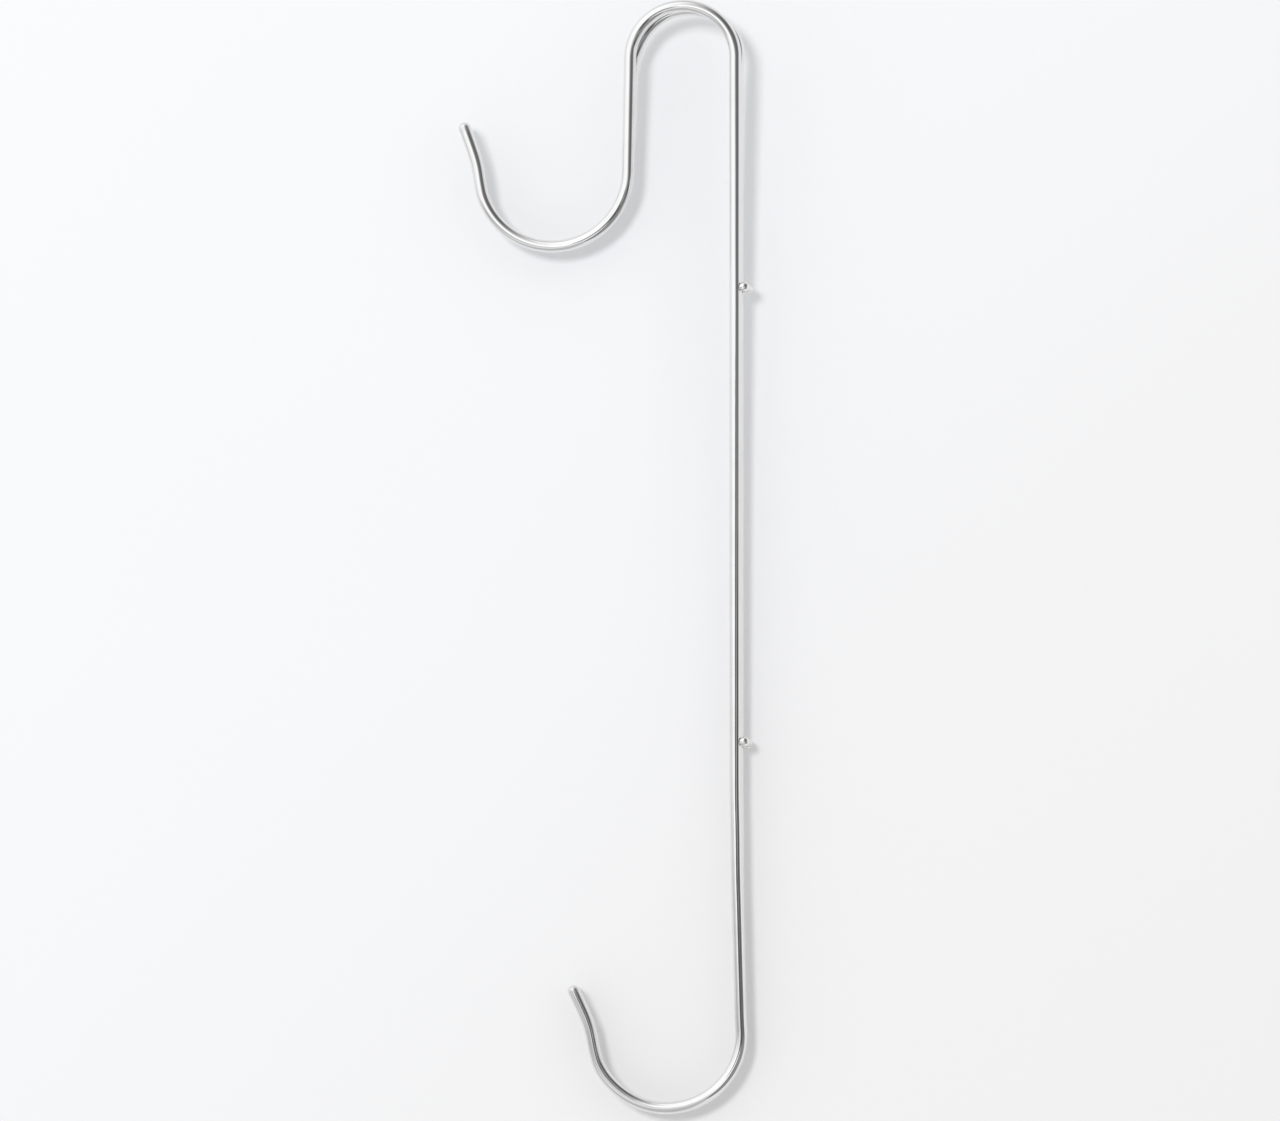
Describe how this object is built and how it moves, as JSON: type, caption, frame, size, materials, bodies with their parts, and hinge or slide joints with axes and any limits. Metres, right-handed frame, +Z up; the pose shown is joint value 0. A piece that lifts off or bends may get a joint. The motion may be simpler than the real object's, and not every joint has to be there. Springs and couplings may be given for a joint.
{
  "type": "double hook",
  "caption": "Tall wire hanger of parallel polished steel rods: an arch over a rail, an upper hook on its short leg and a lower hook at the end of its long shank.",
  "frame": {"origin": "underside of the arch's crown, midway between the front and rear rods, where the hook rests on its rail", "axes": "+Z up along the shank, +X from the upper hook towards the shank, +Y from the front rod towards the rear rod"},
  "size_m": [0.1436, 0.016, 0.5484],
  "materials": {
    "rod_steel": "bright polished round wire",
    "bar_steel": "bright polished round bar"
  },
  "bodies": {
    "root": {"front_rod": "rod_steel", "rear_rod": "rod_steel", "upper_cross_bar": "bar_steel", "lower_cross_bar": "bar_steel"}
  },
  "joints": []
}
